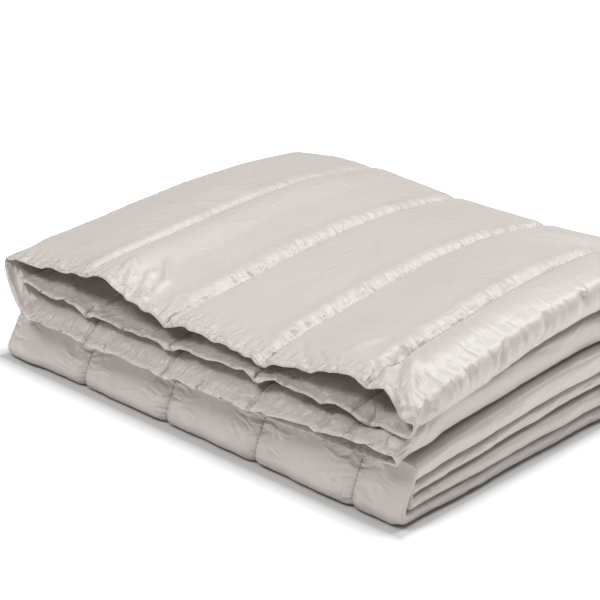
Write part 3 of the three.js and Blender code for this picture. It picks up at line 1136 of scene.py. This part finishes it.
# Noise that is drawn together across and along the cloth: those two scales, detail, distortion, height in m
satinFolds = dict(
    gathers=(40.0, 230.0, 2.0, 0.4, 0.0030),
    hemGathers=(150.0, 60.0, 1.0, 0.8, 0.0055),
    tugs=(90.0, 320.0, 1.0, 0.5, 0.0045),
    folds=(38.0, 95.0, 1.0, 1.2, 0.0085),
)
streaks = [(16.0, 55.0, 0.0), (60.0, 20.0, 3.0)]  # the same two scales, and a shift


def satinNylon():
    scale, reach, high = satinScale, satinReach, satinHeight
    finish = Finish("satin_nylon")
    finish.feed(Specular_IOR_Level=0.7, Sheen_Weight=0.15, Sheen_Roughness=0.4)
    place = finish.add("ShaderNodeAttribute", dict(attribute_name="clothPlace"), output=1)
    across, along = finish.axes(place)
    channel = across / (channelWidth * mm)
    pastSeam = channel - channel.rounded()
    toSeam = pastSeam.size() * (channelWidth * mm)

    tone = finish.blend(finish.noise(place, scale["cloud"], 4.0), satin["shade"], satin["light"])
    # painted shade along the groove of each seam, blended into the base colour
    line = toSeam.fading(satin["seamLine"]) * satin["paintedSeamShadeShare"]
    finish.feed(Base_Color=finish.blend(line, tone, satin["paintedSeamShade"]))
    crinkle = finish.noise(place, scale["crinkle"], 5.0, Roughness=0.55, Distortion=0.6)
    finish.feed(Roughness=satin["roughness"] + crinkle * satin["roughnessSpread"])

    # Facets and ridges of crumpled cloth
    nearHem = along.fading(reach["hem"]) + (alongEnd * mm - along).fading(reach["hem"])
    crumpled = toSeam.fading(reach["seam"]) * satin["seamCrumpled"] + nearHem * satin["hemCrumpled"]
    facets, smallFacets = [
        finish.add("ShaderNodeTexVoronoi", None, dict(Vector=place, Scale=scale[name], Randomness=1.0))
        for name in ("facets", "smallFacets")
    ]
    ridges = 1.0 - (crinkle - 0.5).size() * 5.0
    relief = ridges * high["ridges"] + facets * high["facets"] + smallFacets * high["smallFacets"]
    relief = relief * (satin["crumpled"] + crumpled).limited()

    # Gathers in patches, mostly on one side of a seam; tugs and slack folds on the turns and on the crest
    patches = finish.noise(place, scale["patches"], 1.0)
    uneven = ((patches - satin["patchFrom"]) * satin["patchEdge"]).limited() * 0.75 + 0.25
    oneSided = (pastSeam * satin["sideEdge"]).limited() * 0.8 + 0.2
    besideSeam = toSeam.fading(reach["besideSeam"]) * oneSided * uneven
    besideHem = along.fading(reach["besideHem"])
    relief = relief + facets * (besideSeam * high["seamFacets"] + besideHem * high["hemFacets"])
    onFront = (along - satin["frontMiddle"]).fading(reach["front"])
    onTurns = onFront + (along - satin["backMiddle"]).fading(reach["back"])
    onCrest = (across - satin["crest"]).fading(reach["crest"]) * along.fading(reach["crestAlong"]) * uneven
    where = dict(gathers=besideSeam, hemGathers=besideHem, tugs=toSeam.fading(reach["tugs"]) * onTurns)
    where["folds"] = toSeam.fading(reach["folds"]) * onTurns + onCrest * satin["crestShare"]
    for name, (drawnAcross, drawnAlong, detail, distortion, height) in satinFolds.items():
        drawn = finish.squeezed(place, drawnAcross, drawnAlong)
        relief = relief + finish.noise(drawn, 1.0, detail, Distortion=distortion) * where[name] * height

    # Thin streaks here and there, and the weave
    for drawnAcross, drawnAlong, shift in streaks:
        drawn = finish.squeezed(place, drawnAcross, drawnAlong, shift)
        streak = finish.noise(drawn, 1.0, 1.0, Distortion=0.3) - 0.5
        patch = finish.noise(drawn, 0.55, 0.0) - satin["streakFrom"]
        patch = (patch * satin["streakEdge"]).limited()
        relief = relief + streak.fading(satin["streakWidth"]) * patch * high["streaks"]
    warp, weft = [(axis * (2.0 * math.pi / satin["weavePitch"])).wave() for axis in (across, along)]
    finish.feed(Normal=finish.bump(relief + (warp + weft) * satin["weaveHeight"], satin["bump"]))
    return finish.material


sewing = dict(
    seam=((0.32, 0.29, 0.27, 1.0), (0.22, 0.20, 0.185, 1.0)),
    hem=((0.56, 0.51, 0.475, 1.0), (0.50, 0.455, 0.42, 1.0)),
    roughness=0.55, twistScale=900.0, twistHeight=0.0003,
)


def sewingThread(use):
    light, dark = sewing[use]
    finish = Finish(use + "_thread")
    finish.feed(Roughness=sewing["roughness"], Specular_IOR_Level=0.4)
    twist = finish.noise(finish.add("ShaderNodeTexCoord", output=3), sewing["twistScale"], 2.0)
    finish.feed(Base_Color=finish.blend(twist, dark, light))
    finish.feed(Normal=finish.bump(twist * sewing["twistHeight"], 0.5))
    return finish.material


blanket.data.materials.append(satinNylon())
for stitches, use in ((seamStitches, "seam"), (hemStitches, "hem")):
    stitches.data.materials.append(sewingThread(use))
    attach(stitches, "root")
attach(blanket, "root")
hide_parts("quilted_throw")
print("finishes set")


# Stage: pale floor, soft light, camera at the angle of the picture

stage = dict(
    floorSize=40.0,
    floorColour=(0.62, 0.62, 0.62, 1.0),
    floorRoughness=0.8,
    paintedFloorGlow=0.90,  # painted glow: the floor gives out light of its own, weaker close to the cloth, which paints a soft shadow around it
    footprint=(0.25, 0.205), paintedShadowReach=0.045, paintedShadowPower=0.6, worldStrength=0.20,
)
black, white = (0.0, 0.0, 0.0, 1.0), (1.0, 1.0, 1.0, 1.0)
softBoxes = dict(  # place, aim, size, power and colour
    overhead=((0.0, -0.2, 2.2), (0.0, -0.1, 0.0), (2.6, 2.6), 21.0, (0.96, 0.99, 1.0)),
    key=((0.35, 0.5, 2.0), (0.0, -0.05, 0.0), (0.7, 0.7), 17.0, (0.93, 0.98, 1.0)),
    rear=((0.5, 1.3, 1.35), (0.0, 0.0, 0.1), (0.8, 0.8), 12.0, (1.0, 1.0, 1.0)),
    front=((-0.4, -1.25, 1.85), (0.0, -0.2, 0.06), (0.9, 0.6), 19.0, (1.0, 1.0, 1.0)),
)
picture = dict(lens=108.0, sensor=36.0, place=(1.036, -1.1363, 0.6936), down=22.157, around=43.786)


def paleFloor():
    bpy.ops.mesh.primitive_plane_add(size=stage["floorSize"], location=(0.0, 0.0, 0.0))
    floor = bpy.context.object
    floor.name = "pale_floor"
    finish = Finish("pale_floor")
    finish.feed(Roughness=stage["floorRoughness"], Base_Color=stage["floorColour"])
    sides = finish.axes(finish.add("ShaderNodeTexCoord", output=3))
    pastX, pastY = [(sides[i].size() - stage["footprint"][i]).positive() for i in (0, 1)]
    away = (pastX * pastX + pastY * pastY) ** 0.5
    # painted shadow: the floor's painted glow fades out towards the cloth's footprint, so the floor is
    # darker close to the cloth
    paintedGlow = (away / stage["paintedShadowReach"]).limited() ** stage["paintedShadowPower"]
    finish.feed(Emission_Color=finish.blend(paintedGlow, black, white), Emission_Strength=stage["paintedFloorGlow"])
    floor.data.materials.append(finish.material)


def softBox(name, place, aim, size, power, colour):
    light = bpy.data.lights.new(name, "AREA")
    light.energy = power
    light.color = colour
    light.shape = "RECTANGLE"
    light.size, light.size_y = size
    lamp = addObject(name, light)
    lamp.location = place
    right, ahead, up = np.subtract(aim, place)
    tilt = math.atan2(math.hypot(right, ahead), -up)
    lamp.rotation_euler = (tilt, 0.0, math.atan2(-right, ahead))


def studioWorld():
    world = bpy.data.worlds.new("studio")
    bpy.context.scene.world = world
    world.use_nodes = True
    background = world.node_tree.nodes["Background"]
    background.inputs["Color"].default_value = white
    background.inputs["Strength"].default_value = stage["worldStrength"]
    bpy.context.scene.view_settings.view_transform = "Standard"


def pictureCamera():
    view = bpy.data.cameras.new("picture")
    view.lens = picture["lens"]
    view.sensor_width = picture["sensor"]
    camera = addObject("picture", view)
    camera.location = picture["place"]
    camera.rotation_euler = (math.radians(90.0 - picture["down"]), 0.0, math.radians(picture["around"]))
    bpy.context.scene.camera = camera


studioWorld()
paleFloor()
for name, box in softBoxes.items():
    softBox(name, *box)
pictureCamera()
print("stage set")
